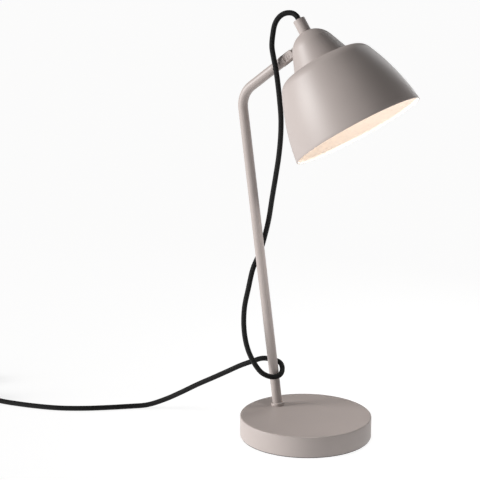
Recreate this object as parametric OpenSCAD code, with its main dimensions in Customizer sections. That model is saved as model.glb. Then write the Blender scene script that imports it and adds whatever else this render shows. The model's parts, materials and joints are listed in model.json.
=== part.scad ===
// Desk lamp: round weighted base, leaning bent stem, tilting spun shade and a textile cord.
// All sizes in millimetres, +Z up. Origin at the middle of the base's underside.
// The stem, the arm and the shade stand in one upright plane, parallel to XZ.

/* [Base] */
// diameter of the base cover
base_d = 160; // [130:1:200]
// height of the base, pad included
base_h = 26; // [22:1:36]
// wall of the pressed base cover
cover_wall = 1.6; // [1:0.2:3]
// radius of the cover's top edge
edge_r = 1.4; // [0.8:0.2:3]
// thickness of the cast weight
weight_h = 13; // [11:1:16]
// thickness of the pad under the base
pad_h = 2; // [1.4:0.2:3]

/* [Stem] */
// distance of the stem's foot behind the middle of the base
foot_back = 47; // [35:1:52]
// distance of the stem's foot to the side of the middle of the base
foot_side = 14; // [0:1:20]
// outside diameter of the stem tube
stem_d = 12; // [11:0.5:14]
// wall of the stem tube
stem_wall = 1.2; // [1:0.1:2]
// lean of the stem away from the shade, in degrees
stem_lean = 7.8; // [0:0.2:12]
// length from the foot to the corner of the bend's centre lines
stem_len = 388; // [300:1:460]
// radius of the bend's centre line
bend_r = 30; // [24:1:40]
// rise of the arm over the horizontal, in degrees
arm_rise = 36.5; // [20:0.5:50]
// length from the corner to the hinge
arm_len = 81; // [66:1:110]

/* [Hinge] */
// diameter of the clevis, over the arm's tube
clevis_d = 13; // [12:0.2:14]
// width over the clevis's flat cheeks
clevis_w = 9.6; // [9:0.2:11]
// thickness of the tongue between the cheeks
tongue_t = 4; // [3:0.2:5]
// distance of the hinge from the dome's side
hinge_off = 9.1; // [8.6:0.1:14]
// height of the hinge over the shade's rim, along the shade's axis
hinge_up = 118; // [112:1:124]

/* [Shade] */
// tilt of the shade's axis from upright, in degrees
shade_tilt = 32.5; // [10:0.5:50]
// radius of the shade's rim
rim_r = 80; // [64:1:96]
// taper of the bell's side at the rim, in degrees
rim_taper = 6.4; // [4:0.1:9]
// radius of the bulge of the bell's side
side_r = 259; // [230:1:320]
// radius of the crease between the bell and the dome
crease_r = 35; // [33:0.1:42]
// height of the crease over the rim
crease_z = 91.3; // [80:0.1:106]
// fall of the bell's crown, in degrees
crown_fall = 5.5; // [3:0.5:14]
// radius of the bell's shoulder
shoulder_r = 19.1; // [15:0.1:24]
// taper of the dome's side, in degrees
dome_taper = 22; // [16:0.5:26]
// height of the dome's top over the rim
dome_z = 132.3; // [122:0.1:140]
// wall of the spun shade
shade_wall = 1.2; // [0.8:0.1:2]
// outside diameter of the cord collar
collar_d = 14.6; // [13:0.2:18]
// length of the cord collar over the dome's top
collar_len = 15.8; // [13:0.2:24]

/* [Bulb] */
// diameter of the bulb's glass
globe_d = 45; // [40:1:50]
// length of the bulb from its contact to the end of the glass
bulb_len = 78; // [72:1:84]

/* [Cord] */
// diameter of the textile cord
cord_d = 6.4; // [5.6:0.1:6.5]
// radius of the coil at the middle of its turns
coil_r = 38; // [34:1:42]
// number of turns in the coil's stack
coil_turns = 3; // [2:1:4]

/* [Hidden] */
round_fn = 96;
fine_fn = 48;
eps = 0.01;
gap = 0.3;
skin_gap = 1;
nut_fn = 6;

foot = [-foot_back, foot_side, base_h];
stem_dir = [-sin(stem_lean), 0, cos(stem_lean)];
arm_dir = [cos(arm_rise), 0, sin(arm_rise)];
corner = foot + stem_len * stem_dir;
hinge = corner + arm_len * arm_dir;
bend_turn = 90 - arm_rise + stem_lean;
bend_leg = bend_r * tan(bend_turn / 2);
bore_r = stem_d / 2 - stem_wall;
neck_len = 24;
knuckle_back = 12;
cheek_back = 5;
head_sink = 0.8;
head_r = 3.2;
slot_w = tongue_t + 1;
slot_back = 8;
pin_r = 2;
plug_len = 16;
weld = 0.4;
weld_step = 0.04;

// foot fastening, measured along the stem's own axis from the top of the base
tube_start = 0.18 + stem_d / 2 * sin(stem_lean);
stud_r = min(4, bore_r - 0.4);
seat_depth = 15.5;
recess_r = 11;
washer_h = 1.5;
foot_nut_h = 5;
foot_nut_r = 7.2;
stud_end = seat_depth + washer_h + foot_nut_h + 0.5;

// shade profile: outward normals of the crown and the dome, then the middles of the round parts
crown_n = [sin(crown_fall), cos(crown_fall)];
dome_n = [cos(dome_taper), sin(dome_taper)];
crease = [crease_r, crease_z];
side_c = [rim_r - side_r * cos(rim_taper), -side_r * sin(rim_taper)];
side_end = 90 - crown_fall
    - acos((crease * crown_n - shoulder_r - side_c * crown_n) / (side_r - shoulder_r));
shoulder_c = side_c + (side_r - shoulder_r) * [cos(side_end), sin(side_end)];
cap_c = (dome_z - crease * dome_n) / (1 - sin(dome_taper));
cap_r = dome_z - cap_c;
function arc_points(centre, r, a0, a1, steps) =
    [for (i = [0:steps]) let (a = a0 + (a1 - a0) * i / steps) centre + r * [cos(a), sin(a)]];
function inner_crease(inset) = crease - inset * (crown_n + dome_n) / (1 + crown_n * dome_n);
function skin(inset, hole) = concat(
    arc_points(side_c, side_r - inset, asin(-side_c[1] / (side_r - inset)), side_end - 1, 6),
    arc_points(shoulder_c, shoulder_r - inset, side_end, 90 - crown_fall, 9),
    [inner_crease(inset)],
    arc_points([0, cap_c], cap_r - inset, dome_taper, acos(hole / (cap_r - inset)), 9));
function backwards(list) = [for (i = [len(list) - 1:-1:0]) list[i]];

// parts on the shade's axis, heights over the rim
nipple_r = 5;
nipple_bore = cord_d / 2 + 0.15;
nipple_hole = nipple_r + 0.1;
collar_top = dome_z + collar_len;
grip_low = dome_z + 6;
seat_z = cap_c + sqrt(pow(cap_r - shade_wall, 2) - 64);
nut_low = seat_z - 3;
holder_top = nut_low;
cap_low = holder_top - 20;
body_low = cap_low - 34;
holder_r = 13;
insert_h = 5;
tip_z = cap_low - 8;
globe_r = globe_d / 2;
globe_z = tip_z - bulb_len + globe_r;
screw_r = 6.8;
cap_end = tip_z - 24;
sleeve_r = 7.9;

// hinge to the shade's axis
hinge_out = crease_r - (hinge_up - crease_z) * tan(dome_taper) + hinge_off / cos(dome_taper);

// tongue, measured along its own axis from the hinge to the middle of the dome's cap
tongue_run = sqrt(pow(hinge_out, 2) + pow(hinge_up - cap_c, 2));
tongue_turn = 90 + atan2(hinge_up - cap_c, hinge_out);
wall_out = tongue_run - cap_r;
wall_in = tongue_run - cap_r + shade_wall;
cheek_r = wall_out - 0.6;
shank_at = wall_out - 0.2;
gusset_up = 10;
gusset_down = 5.6;
shank_r = 3;
wash_r = 5.5;
wash_at = tongue_run - sqrt(pow(cap_r - shade_wall, 2) - pow(wash_r, 2)) + 0.1;
wash_h = 1;
shank_nut_h = 2.6;

// cord route: the collar's mouth, then points set by hand, z of a lying cord last
cord_r = cord_d / 2;
cord_z = cord_r + 0.05;
tube_sides = 10;
shade_axis = [-sin(shade_tilt), 0, cos(shade_tilt)];
shade_side = [cos(shade_tilt), 0, sin(shade_tilt)];
rim_c = hinge + hinge_out * shade_side - hinge_up * shade_axis;
mouth = rim_c + collar_top * shade_axis;
drop_start = [mouth + 2 * gap * shade_axis, mouth + 4 * shade_axis];
drop_shift = mouth - [-23, 14, 502];
loop_points = [[-31, 14, 509], [-39, 12, 509], [-46, 10, 505], [-51, 8, 497], [-53, 6, 484],
    [-53, 4, 470], [-50, 3, 457], [-47, 3, 444]];
hang_points = [[-44, 3, 427], [-42, 4, 408], [-41, 6, 386], [-43, 9, 362], [-47, 12, 338],
    [-53, 16, 314], [-60, 20, 286], [-67, 24, 257]];
wrap_points = [[-74, 26, 234], [-79, 23, 214], [-84, 16, 196], [-86, 8, 172], [-87, 0, 148],
    [-84, -6, 124], [-78, -9, 103], [-69, -9, 85], [-58, -6, 71], [-48, 3, 65], [-42.8, 12, 66.5],
    [-44.4, 20.4, 71.5], [-50.5, 25.5, 77], [-61, 24, 80], [-72, 19, 81], [-85, 14, 76], [-100, 11, 69],
    [-116, 8, 60], [-134, 4, 50], [-156, 0, 38], [-178, -5, 25], [-200, -10, 13], [-220, -19, 5]];
lay_points = [[-238, -31, cord_z], [-259, -49, cord_z], [-284, -68, cord_z], [-313, -84, cord_z],
    [-346, -94, cord_z], [-380, -100, cord_z]];
hang_step = len(loop_points) + len(hang_points);
upper_route = concat(drop_start,
    [for (p = loop_points) p + drop_shift],
    [for (i = [0:len(hang_points) - 1]) hang_points[i] + drop_shift * (1 - (i + 1) / hang_step * 2)]);

// in-line switch, its long side along the cord
switch_len = 62;
switch_w = 27;
switch_h = 21;
switch_at = [-457, -113.4, 0];
switch_turn = 10;
switch_out = [cos(180 + switch_turn), sin(180 + switch_turn), 0];
tray_h = 10.5;
switch_lift = 0.1;
switch_wall = 2;
rocker_l = 20;
rocker_w = 11;
rocker_throw = 7;
rocker_pivot_z = 16;
rocker_h = 6;
axle_r = 1.2;
post_in = 7.2;
post_t = 3;
near_end = switch_at - switch_out * switch_len / 2 + [0, 0, tray_h + switch_lift];
far_end = switch_at + switch_out * switch_len / 2 + [0, 0, tray_h + switch_lift];
tail_end = [near_end - 28 * switch_out - [0, 0, 6], near_end - 14 * switch_out - [0, 0, 1.5], near_end];

// coil and plug
coil_at = [-588, -90, 0];
turn_pitch = cord_d + 0.2;
coil_low = 1.2;
coil_h = turn_pitch * coil_turns;
tie_w = 9;
tie_t = 0.9;
plug_at = [coil_at[0] + 80, coil_at[1] + coil_r + 4, 0];
relief_len = 22;
plug_t = 13.6;
plug_rise = plug_t / 2 + 0.05;
link_route = [far_end, far_end + 10 * switch_out, far_end + 24 * switch_out - [0, 0, 3],
    [coil_at[0] - coil_r * sin(-20), coil_at[1] - coil_r * cos(20) - cord_d - 0.3, coil_low + cord_r + 0.4]];
lead_route = [[coil_at[0], coil_at[1] + coil_r + cord_d + 0.3, coil_low + coil_h - cord_r],
    [coil_at[0] + 14, plug_at[1] + 2.6, 16], [coil_at[0] + 28, plug_at[1] + 2, 11],
    [plug_at[0] - 42, plug_at[1] + 0.8, 7.8], [plug_at[0] - 33, plug_at[1], plug_rise],
    [plug_at[0] - 22, plug_at[1], plug_rise], [plug_at[0] - 12, plug_at[1], plug_rise]];

plug_step = 1.2;
plug_mid = [18, 0];
plug_flat = [[-10, -5.5], [4, -11], [9, -17.6], [26, -17.6], [32, -11], [32, 11], [26, 17.6], [9, 17.6],
    [4, 11], [-10, 5.5]];

function unit(v) = v / norm(v);
function across(v, t) = unit(v - (v * t) * t);
function heading(p, i) = unit(p[min(i + 1, len(p) - 1)] - p[max(i - 1, 0)]);
function carried(p, i, n) = i == len(p) ? [] :
    let (m = across(n, heading(p, i)))
    concat([m], carried(p, i + 1, m));
function midpoint(p, i) = let (a = p[max(i - 1, 0)], b = p[i], c = p[i + 1], d = p[min(i + 2, len(p) - 1)])
    (9 * (b + c) - a - d) / 16;
function halved(p) = [for (i = [0:2 * len(p) - 2]) i % 2 == 0 ? p[i / 2] : midpoint(p, (i - 1) / 2)];

// ---------- frames ----------

// the stem's own frame: origin on the base's top, Z up the stem
module on_stem()
    translate(foot) rotate([0, -stem_lean, 0]) children();

// the arm's own frame: origin on the hinge, Z along the arm towards the shade, Y the hinge's axis
module on_arm()
    translate(hinge) rotate([0, 90 - arm_rise, 0]) children();

// the shade's own frame: origin in the middle of the rim, Z up the shade's axis
module in_shade()
    translate(hinge) rotate([0, -shade_tilt, 0]) translate([hinge_out, 0, -hinge_up]) children();

// the tongue's own frame: origin on the hinge, Z towards the middle of the dome's cap
module on_tongue()
    translate(hinge) rotate([0, tongue_turn - shade_tilt, 0]) children();

// the switch's own frame: X along the cord, Z up
module at_switch()
    translate(switch_at + [0, 0, switch_lift]) rotate([0, 0, switch_turn]) children();

// ---------- shared shapes ----------

module ring(h, r_out, r_in)
    difference() {
        cylinder(h = h, r = r_out, $fn = round_fn);
        translate([0, 0, -1]) cylinder(h = h + 2, r = r_in, $fn = round_fn);
    }

module hex_nut(h, r_out, r_in)
    difference() {
        cylinder(h = h, r = r_out, $fn = nut_fn);
        translate([0, 0, -1]) cylinder(h = h + 2, r = r_in, $fn = fine_fn);
    }

// a round cord through the route's points, its ring turned without twist
module cord_tube(p, first) {
    normals = carried(p, 0, first);
    count = len(p);
    points = [for (i = [0:count - 1]) let (t = heading(p, i), n = normals[i], b = cross(t, n))
        for (k = [0:tube_sides - 1]) let (a = 360 * k / tube_sides)
            p[i] + cord_r * (cos(a) * n + sin(a) * b)];
    walls = [for (i = [0:count - 2]) for (k = [0:tube_sides - 1])
        let (m = (k + 1) % tube_sides, low = i * tube_sides, high = low + tube_sides)
            [low + k, high + k, high + m, low + m]];
    ends = [[for (k = [0:tube_sides - 1]) k],
        [for (k = [tube_sides - 1:-1:0]) (count - 1) * tube_sides + k]];
    polyhedron(points = points, faces = concat(walls, ends), convexity = 6);
}

// ---------- base ----------

module base_cover()
    color("#A79E98") difference() {
        rotate_extrude($fn = round_fn) polygon(concat(
            [[0, base_h], [0, base_h - cover_wall], [base_d / 2 - cover_wall, base_h - cover_wall],
                [base_d / 2 - cover_wall, skin_gap], [base_d / 2, skin_gap]],
            arc_points([base_d / 2 - edge_r, base_h - edge_r], edge_r, 0, 90, 4)));
        on_stem() translate([0, 0, -cover_wall * 3]) cylinder(h = 12, r = stud_r + 0.3, $fn = fine_fn);
    }

module base_weight()
    color("#4A4A4A") difference() {
        union() {
            translate([0, 0, pad_h]) cylinder(h = weight_h, r = base_d / 2 - cover_wall - 0.4, $fn = round_fn);
            translate([foot[0], foot[1], pad_h])
                cylinder(h = base_h - cover_wall - pad_h, r = 15, $fn = fine_fn);
        }
        on_stem() translate([0, 0, -base_h - 10]) cylinder(h = base_h + 20, r = stud_r + 0.3, $fn = fine_fn);
        on_stem() translate([0, 0, -seat_depth - 30]) cylinder(h = 30, r = recess_r, $fn = fine_fn);
    }

module base_pad()
    color("#262626") union() {
        cylinder(h = pad_h, r = base_d / 2 - 3, $fn = round_fn);
        cylinder(h = skin_gap - 0.2, r = base_d / 2 - 0.8, $fn = round_fn);
    }

// ---------- foot ----------

module foot_ferrule()
    color("#A79E98") difference() {
        on_stem() translate([0, 0, -3]) cylinder(h = 6.6, r = stem_d / 2 + 2.2, $fn = fine_fn);
        on_stem() translate([0, 0, -6]) cylinder(h = 12, r = stem_d / 2, $fn = fine_fn);
        translate([foot[0] - 20, foot[1] - 20, base_h - 10]) cube([40, 40, 10]);
    }

module stem_stud()
    color("#9A9DA0") on_stem() union() {
        translate([0, 0, tube_start]) cylinder(h = plug_len, r = bore_r, $fn = fine_fn);
        translate([0, 0, -stud_end]) cylinder(h = stud_end + tube_start + 1, r = stud_r, $fn = fine_fn);
    }

module stem_washer()
    color("#9A9DA0") on_stem() translate([0, 0, -seat_depth - washer_h])
        ring(washer_h, foot_nut_r + 1.6, stud_r + 0.2);

module stem_nut()
    color("#9A9DA0") on_stem() translate([0, 0, -seat_depth - washer_h - foot_nut_h])
        hex_nut(foot_nut_h, foot_nut_r, stud_r);

// ---------- stem and arm ----------

// one bend of the tube, from the stem's end to the arm's end
module bend_piece(r)
    translate(corner - bend_leg * stem_dir) rotate([0, -stem_lean, 0])
        translate([bend_r, 0, 0]) rotate([90, 0, 0]) rotate([0, 0, 180 - bend_turn])
            rotate_extrude(angle = bend_turn, $fn = fine_fn) translate([bend_r, 0])
                circle(r = r, $fn = fine_fn);

// the tube's whole path at one radius; the bend is a hair thinner where it meets the legs
module tube_path(r, past)
    union() {
        on_stem() translate([0, 0, tube_start - past])
            cylinder(h = stem_len - bend_leg - tube_start + weld + past, r = r, $fn = fine_fn);
        bend_piece(r - weld_step);
        on_arm() translate([0, 0, bend_leg - arm_len - weld])
            cylinder(h = arm_len - bend_leg - neck_len + weld + past, r = r, $fn = fine_fn);
    }

module stem_tube()
    color("#A79E98") difference() {
        tube_path(stem_d / 2, 0);
        tube_path(bore_r, 1);
    }

// ---------- hinge ----------

// outer shape of the clevis: neck, thicker knuckle and two flat cheeks, round about the hinge
module clevis_mass()
    intersection() {
        union() {
            translate([0, 0, -neck_len]) cylinder(h = neck_len, r = stem_d / 2, $fn = fine_fn);
            translate([0, 0, -knuckle_back])
                cylinder(h = knuckle_back + cheek_r, r = clevis_d / 2, $fn = fine_fn);
        }
        union() {
            translate([-clevis_d, -clevis_d, -neck_len])
                cube([clevis_d * 2, clevis_d * 2, neck_len - cheek_back]);
            translate([-clevis_d, -clevis_w / 2, -cheek_back - 1])
                cube([clevis_d * 2, clevis_w, cheek_back + 1]);
            translate([0, clevis_w / 2, 0]) rotate([90, 0, 0])
                cylinder(h = clevis_w, r = cheek_r, $fn = round_fn);
        }
    }

module arm_clevis()
    color("#A79E98") on_arm() difference() {
        union() {
            translate([0, 0, -neck_len - 12]) cylinder(h = 14, r = bore_r, $fn = fine_fn);
            clevis_mass();
        }
        translate([-clevis_d, -slot_w / 2, -slot_back])
            cube([clevis_d * 2, slot_w, slot_back + clevis_d]);
        translate([0, clevis_w, 0]) rotate([90, 0, 0])
            cylinder(h = clevis_w * 2, r = pin_r + 0.05, $fn = fine_fn);
        translate([0, head_sink - clevis_w / 2, 0]) rotate([90, 0, 0])
            cylinder(h = 2, r = head_r + 0.1, $fn = fine_fn);
    }

module hinge_screw()
    color("#A79E98") on_arm() rotate([90, 0, 0]) difference() {
        union() {
            translate([0, 0, -clevis_w / 2 - 4]) cylinder(h = clevis_w + 4, r = pin_r, $fn = fine_fn);
            translate([0, 0, clevis_w / 2 - head_sink])
                cylinder(h = head_sink + 0.3, r = head_r, $fn = fine_fn);
        }
        translate([-head_r, -0.4, clevis_w / 2 - 0.2]) cube([head_r * 2, 0.8, 2]);
    }

module hinge_nut()
    color("#8E8782") on_arm() rotate([-90, 0, 0]) translate([0, 0, clevis_w / 2])
        hex_nut(3.2, 4, pin_r);

module hinge_washers()
    color("#D8D4CC") on_arm() for (side = [-1, 1])
        rotate([90 * side, 0, 0]) translate([0, 0, tongue_t / 2 + 0.05])
            ring((slot_w - tongue_t) / 2 - 0.05, 4.4, pin_r + 0.05);

// the shade's outer shape, filled
module shade_mass()
    in_shade() rotate_extrude($fn = round_fn) polygon(concat([[0, 0]], skin(0, 0)));

module hinge_tongue()
    color("#8E8782") difference() {
        on_tongue() union() {
            translate([0, tongue_t / 2, 0]) rotate([90, 0, 0])
                cylinder(h = tongue_t, r = 5, $fn = fine_fn);
            hull() {
                translate([0, tongue_t / 2, 0]) rotate([90, 0, 0])
                    cylinder(h = tongue_t, r = 4, $fn = fine_fn);
                translate([-gusset_up, -tongue_t / 2, wall_out - 1])
                    cube([gusset_down + gusset_up, tongue_t, 4]);
            }
        }
        shade_mass();
        on_tongue() translate([0, 10, 0]) rotate([90, 0, 0])
            cylinder(h = 20, r = pin_r + 0.05, $fn = fine_fn);
        on_tongue() translate([0, 0, shank_at]) cylinder(h = 3, r = shank_r, $fn = fine_fn);
    }

module tongue_stud()
    color("#9A9DA0") on_tongue() translate([0, 0, shank_at])
        cylinder(h = wash_at + wash_h + shank_nut_h + 0.5 - shank_at, r = shank_r, $fn = fine_fn);

module tongue_washer()
    color("#9A9DA0") on_tongue() translate([0, 0, wash_at]) ring(wash_h, wash_r, shank_r);

module tongue_nut()
    color("#9A9DA0") on_tongue() translate([0, 0, wash_at + wash_h])
        hex_nut(shank_nut_h, 4.9, shank_r);

// ---------- shade ----------

module shade_shell()
    color("#A79E98") difference() {
        in_shade() rotate_extrude($fn = round_fn)
            polygon(concat(skin(0, nipple_hole), backwards(skin(shade_wall, nipple_hole))));
        on_tongue() translate([0, 0, wall_out - 3]) cylinder(h = 8, r = shank_r + 0.1, $fn = fine_fn);
    }

module cord_collar()
    color("#A79E98") in_shade() difference() {
        translate([0, 0, dome_z - 2]) cylinder(h = collar_len + 2, r = collar_d / 2, $fn = round_fn);
        translate([0, 0, cap_c]) sphere(r = cap_r, $fn = round_fn);
        translate([0, 0, dome_z - 5]) cylinder(h = 11, r = nipple_r, $fn = fine_fn);
        translate([0, 0, grip_low - 1]) cylinder(h = 30, r = nipple_r + 0.4, $fn = fine_fn);
        translate([0, 0, grip_low + 4]) rotate([-90, 0, 0]) cylinder(h = 20, r = 1.5, $fn = fine_fn);
    }

module cord_grip()
    color("#2B2B2B") in_shade() translate([0, 0, grip_low]) difference() {
        ring(collar_top - grip_low, nipple_r + 0.4, cord_r + 0.05);
        translate([0, 0, 4]) rotate([-90, 0, 0]) cylinder(h = 20, r = 1.5, $fn = fine_fn);
    }

module collar_screw()
    color("#2B2B2B") in_shade() translate([0, 0, grip_low + 4]) rotate([-90, 0, 0]) difference() {
        translate([0, 0, cord_r + 0.1]) cylinder(h = collar_d / 2 - cord_r, r = 1.5, $fn = fine_fn);
        translate([-0.3, -2, collar_d / 2 - 0.8]) cube([0.6, 4, 3]);
    }

module nipple()
    color("#C8A24A") in_shade() translate([0, 0, holder_top - 8])
        ring(dome_z + 6 - holder_top + 8, nipple_r, nipple_bore);

module nipple_nut()
    color("#C8A24A") in_shade() translate([0, 0, nut_low]) hex_nut(3, 8, nipple_r);

// ---------- lampholder ----------

module holder_cap()
    color("#232323") in_shade() difference() {
        union() {
            translate([0, 0, holder_top - 6]) cylinder(h = 6, r = 8, $fn = round_fn);
            translate([0, 0, holder_top - 13]) cylinder(h = 7, r1 = holder_r, r2 = 8, $fn = round_fn);
            translate([0, 0, cap_low]) cylinder(h = 7, r = holder_r, $fn = round_fn);
        }
        translate([0, 0, holder_top - 9]) cylinder(h = 12, r = nipple_r, $fn = fine_fn);
        translate([0, 0, cap_low - 1]) cylinder(h = 8, r = holder_r - 1.6, $fn = round_fn);
        translate([0, 0, cap_low + 7 - eps])
            cylinder(h = 5, r1 = holder_r - 1.6, r2 = nipple_r, $fn = round_fn);
    }

module holder_body()
    color("#232323") in_shade() difference() {
        translate([0, 0, body_low]) cylinder(h = cap_low - body_low, r = holder_r, $fn = round_fn);
        translate([0, 0, body_low - 1]) cylinder(h = 50, r = sleeve_r + 0.3, $fn = round_fn);
        translate([0, 0, cap_low - insert_h]) cylinder(h = 10, r = holder_r - 1.6, $fn = round_fn);
    }

module holder_insert()
    color("#E6E1D8") in_shade() difference() {
        translate([0, 0, cap_low - insert_h]) cylinder(h = insert_h, r = holder_r - 1.6, $fn = round_fn);
        translate([-1.6, -1.6, cap_low - insert_h - 1]) cube([3.2, 3.2, insert_h + 2]);
    }

module holder_sleeve()
    color("#C8A24A") in_shade() translate([0, 0, body_low + 4])
        ring(cap_low - insert_h - body_low - 4, sleeve_r, screw_r + 0.25);

module centre_contact()
    color("#C8A24A") in_shade() union() {
        translate([-1.5, -1.5, tip_z + 0.6]) cube([3, 3, cap_low - tip_z + 0.6]);
        translate([-3, -1.5, tip_z]) cube([6, 3, 0.6]);
    }

module terminals()
    color("#C8A24A") in_shade() for (side = [-1, 1]) translate([side * 6.5 - 2, -2.5, cap_low])
        cube([4, 5, 5]);

module lead(side)
    in_shade() translate([side * 1.5, 0, cap_low + 8.3]) rotate([0, 180 - side * 33, 0])
        cylinder(h = 6, r = 1.1, $fn = fine_fn);

module lead_live()
    color("#7A4A2A") lead(1);

module lead_neutral()
    color("#3A5FA0") lead(-1);

module cord_entry()
    color("#161616") in_shade() translate([0, 0, cap_low + 9])
        cylinder(h = collar_top - cap_low - 9, r = cord_r, $fn = fine_fn);

// ---------- bulb ----------

module bulb_cap()
    color("#B9BBBD") in_shade() difference() {
        translate([0, 0, cap_end]) cylinder(h = tip_z - cap_end - 3, r = screw_r, $fn = round_fn);
        translate([0, 0, cap_end - 1]) cylinder(h = tip_z - cap_end - 3, r = screw_r - 0.5, $fn = round_fn);
    }

module bulb_insulator()
    color("#1C1C1C") in_shade() translate([0, 0, tip_z - 3])
        cylinder(h = 2, r1 = screw_r - 0.4, r2 = 3, $fn = round_fn);

module bulb_contact()
    color("#B9BBBD") in_shade() translate([0, 0, tip_z - 1]) cylinder(h = 1, r = 2.4, $fn = fine_fn);

module bulb_globe()
    color("#FFE3C8") in_shade() union() {
        translate([0, 0, globe_z]) sphere(r = globe_r, $fn = round_fn);
        translate([0, 0, globe_z + globe_r * cos(35)])
            cylinder(h = cap_end - globe_z - globe_r * cos(35), r1 = globe_r * sin(35),
                r2 = screw_r - 0.6, $fn = round_fn);
        translate([0, 0, cap_end]) cylinder(h = 6, r = screw_r - 0.6, $fn = round_fn);
    }

// ---------- cord ----------

module cord_drop()
    color("#161616") cord_tube(halved(concat(upper_route, [wrap_points[0]])), [0, 1, 0]);

module cord_wrap()
    color("#161616") cord_tube(wrap_points, [0, 1, 0]);

module cord_tail()
    color("#161616") cord_tube(concat([wrap_points[len(wrap_points) - 1]], lay_points, tail_end), [0, 0, 1]);

module cord_link()
    color("#161616") cord_tube(link_route, [0, 0, 1]);

module cord_coil()
    color("#161616") translate(coil_at + [0, 0, coil_low])
        ring(coil_h, coil_r + cord_r, coil_r - cord_r);

module cord_lead()
    color("#161616") cord_tube(lead_route, [0, 0, 1]);

module coil_tie()
    color("#3A3A3A") translate(coil_at + [-coil_r, 0, coil_low]) difference() {
        translate([-cord_r - 0.4 - tie_t, -tie_w / 2, -tie_t - 0.1])
            cube([cord_d + 1.2 + 2 * tie_t, tie_w, coil_h + 2 * tie_t + 0.2]);
        translate([-cord_r - 0.4, -tie_w, -0.1]) cube([cord_d + 1.2, tie_w * 2, coil_h + 0.2]);
    }

// ---------- switch ----------

// rounded block of the switch housing, its ends half round
module pill(len, w, h, z)
    translate([0, 0, z]) union() {
        translate([-len / 2 + w / 2, -w / 2, 0]) cube([len - w, w, h]);
        for (side = [-1, 1]) translate([side * (len / 2 - w / 2), 0, 0])
            cylinder(h = h, r = w / 2, $fn = round_fn);
    }

module switch_cavity(low, high)
    pill(switch_len - 2 * switch_wall, switch_w - 2 * switch_wall, high - low, low);

module cord_channel()
    translate([-switch_len, 0, tray_h]) rotate([0, 90, 0])
        cylinder(h = 2 * switch_len, r = cord_r, $fn = fine_fn);

module switch_tray()
    color("#1E1E1E") at_switch() difference() {
        union() {
            difference() {
                pill(switch_len, switch_w, tray_h, 0);
                switch_cavity(switch_wall, tray_h + 1);
                cord_channel();
            }
            for (side = [-1, 1]) translate([-3, side * (post_in + post_t / 2) - post_t / 2, 1])
                cube([6, post_t, rocker_pivot_z + 1]);
        }
        translate([0, switch_w / 2, rocker_pivot_z]) rotate([90, 0, 0])
            cylinder(h = switch_w, r = axle_r + 0.05, $fn = fine_fn);
        for (side = [-1, 1]) translate([side * 20, 0, -1]) cylinder(h = 5, r = 1.6, $fn = fine_fn);
    }

module switch_lid()
    color("#1E1E1E") at_switch() difference() {
        union() {
            pill(switch_len, switch_w, switch_h - tray_h - 1.2, tray_h);
            pill(switch_len - 2.4, switch_w - 2.4, 1.2, switch_h - 1.2);
        }
        switch_cavity(tray_h - 1, switch_h - switch_wall);
        cord_channel();
        translate([-rocker_l / 2 - 0.5, -rocker_w / 2 - 0.5, tray_h]) cube([rocker_l + 1, rocker_w + 1, 20]);
    }

module switch_rocker()
    color("#2A2A2A") at_switch() translate([0, 0, rocker_pivot_z]) rotate([0, rocker_throw, 0]) union() {
        intersection() {
            translate([-rocker_l / 2, -rocker_w / 2, -1]) cube([rocker_l, rocker_w, rocker_h + 1]);
            translate([0, rocker_w, 0]) rotate([90, 0, 0])
                cylinder(h = 2 * rocker_w, r = rocker_l / 2, $fn = round_fn);
        }
        translate([0, post_in + post_t, 0]) rotate([90, 0, 0])
            cylinder(h = 2 * (post_in + post_t), r = axle_r, $fn = fine_fn);
    }

module switch_screws()
    color("#9A9DA0") at_switch() for (side = [-1, 1]) translate([side * 20, 0, 0.4])
        cylinder(h = 9, r = 1.5, $fn = fine_fn);

// ---------- plug ----------

module plug_body()
    color("#1E1E1E") translate(plug_at) difference() {
        translate([0, 0, plug_rise - plug_t / 2]) union() {
            translate([-10 - relief_len, 0, plug_t / 2]) rotate([0, 90, 0])
                cylinder(h = relief_len + 1, r1 = cord_r + 0.9, r2 = 5.2, $fn = fine_fn);
            linear_extrude(height = plug_t) polygon([for (p = plug_flat) p - plug_step * unit(p - plug_mid)]);
            translate([0, 0, plug_step]) linear_extrude(height = plug_t - 2 * plug_step) polygon(plug_flat);
        }
        translate([-14 - relief_len, 0, plug_rise]) rotate([0, 90, 0])
            cylinder(h = relief_len + 4, r = cord_r, $fn = fine_fn);
    }

module plug_sleeves()
    color("#1E1E1E") translate(plug_at) for (side = [-1, 1])
        translate([32, side * 9.4, plug_rise]) rotate([0, 90, 0]) ring(10, 1.9, 1.4);

module plug_pins()
    color("#B9BBBD") translate(plug_at) for (side = [-1, 1])
        translate([32, side * 9.4, plug_rise]) rotate([0, 90, 0]) union() {
            cylinder(h = 11, r = 1.4, $fn = fine_fn);
            translate([0, 0, 10]) cylinder(h = 8, r = 2, $fn = fine_fn);
            translate([0, 0, 18]) cylinder(h = 1, r1 = 2, r2 = 1.2, $fn = fine_fn);
        }

base_cover();
base_weight();
base_pad();
foot_ferrule();
stem_stud();
stem_washer();
stem_nut();
stem_tube();
arm_clevis();
hinge_screw();
hinge_nut();
hinge_washers();
hinge_tongue();
tongue_stud();
tongue_washer();
tongue_nut();
shade_shell();
cord_collar();
cord_grip();
collar_screw();
nipple();
nipple_nut();
holder_cap();
holder_body();
holder_insert();
holder_sleeve();
centre_contact();
terminals();
lead_live();
lead_neutral();
cord_entry();
bulb_cap();
bulb_insulator();
bulb_contact();
bulb_globe();
cord_drop();
cord_wrap();
cord_tail();
cord_link();
cord_coil();
cord_lead();
coil_tie();
switch_tray();
switch_lid();
switch_rocker();
switch_screws();
plug_body();
plug_sleeves();
plug_pins();
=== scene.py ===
"""Looks of a desk lamp: weighted disc base, leaning bent stem, tilting spun shade, braided mains lead."""

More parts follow.
